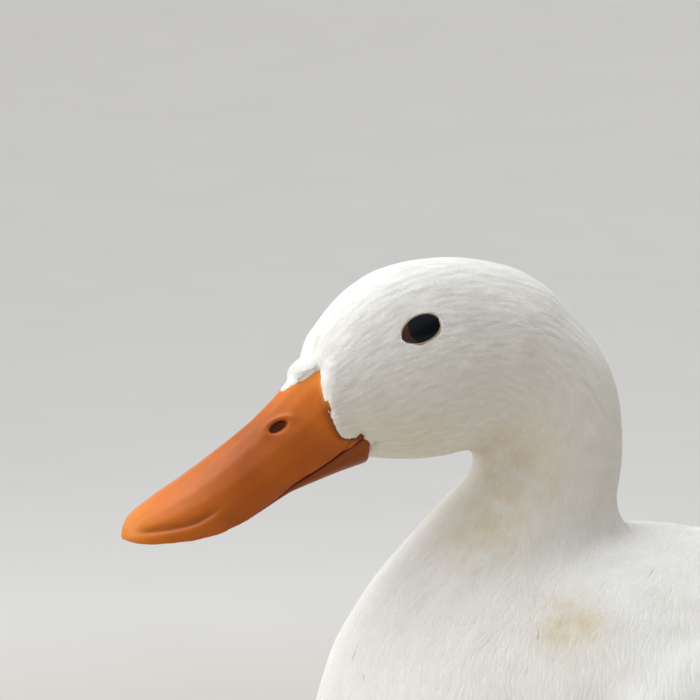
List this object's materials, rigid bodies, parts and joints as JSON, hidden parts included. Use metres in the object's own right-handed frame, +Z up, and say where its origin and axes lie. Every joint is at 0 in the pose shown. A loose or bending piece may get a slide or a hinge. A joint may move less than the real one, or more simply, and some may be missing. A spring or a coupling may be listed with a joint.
{
  "type": "duck",
  "caption": "White domestic duck standing at rest, life size: rounded body, folded wings, curved neck, broad orange bill and webbed feet.",
  "frame": {"origin": "centre of the bounding box's base, on the floor between the two feet", "axes": "+Z up; the duck faces -X; its left side is towards -Y; the XZ plane is its plane of symmetry"},
  "size_m": [0.4522, 0.1732, 0.3427],
  "materials": {
    "plumage": "matte, soft overlapping white feathers",
    "bill_skin": "satin, smooth orange skin over horn",
    "eyeball": "wet gloss, near black",
    "leg_skin": "satin, fine scales",
    "claw_horn": "satin horn"
  },
  "bodies": {
    "root": {"head": "plumage", "neck": "plumage", "trunk": "plumage", "tail": "plumage", "wing_left": "plumage", "wing_right": "plumage", "wing_tip_left": "plumage", "wing_tip_right": "plumage", "thigh_left": "plumage", "thigh_right": "plumage", "upper_bill": "bill_skin", "lower_bill": "bill_skin", "eye_left": "eyeball", "eye_right": "eyeball", "shank_left": "leg_skin", "shank_right": "leg_skin", "foot_left": "leg_skin", "foot_right": "leg_skin", "inner_claw_left": "claw_horn", "inner_claw_right": "claw_horn", "middle_claw_left": "claw_horn", "middle_claw_right": "claw_horn", "outer_claw_left": "claw_horn", "outer_claw_right": "claw_horn"}
  },
  "joints": []
}
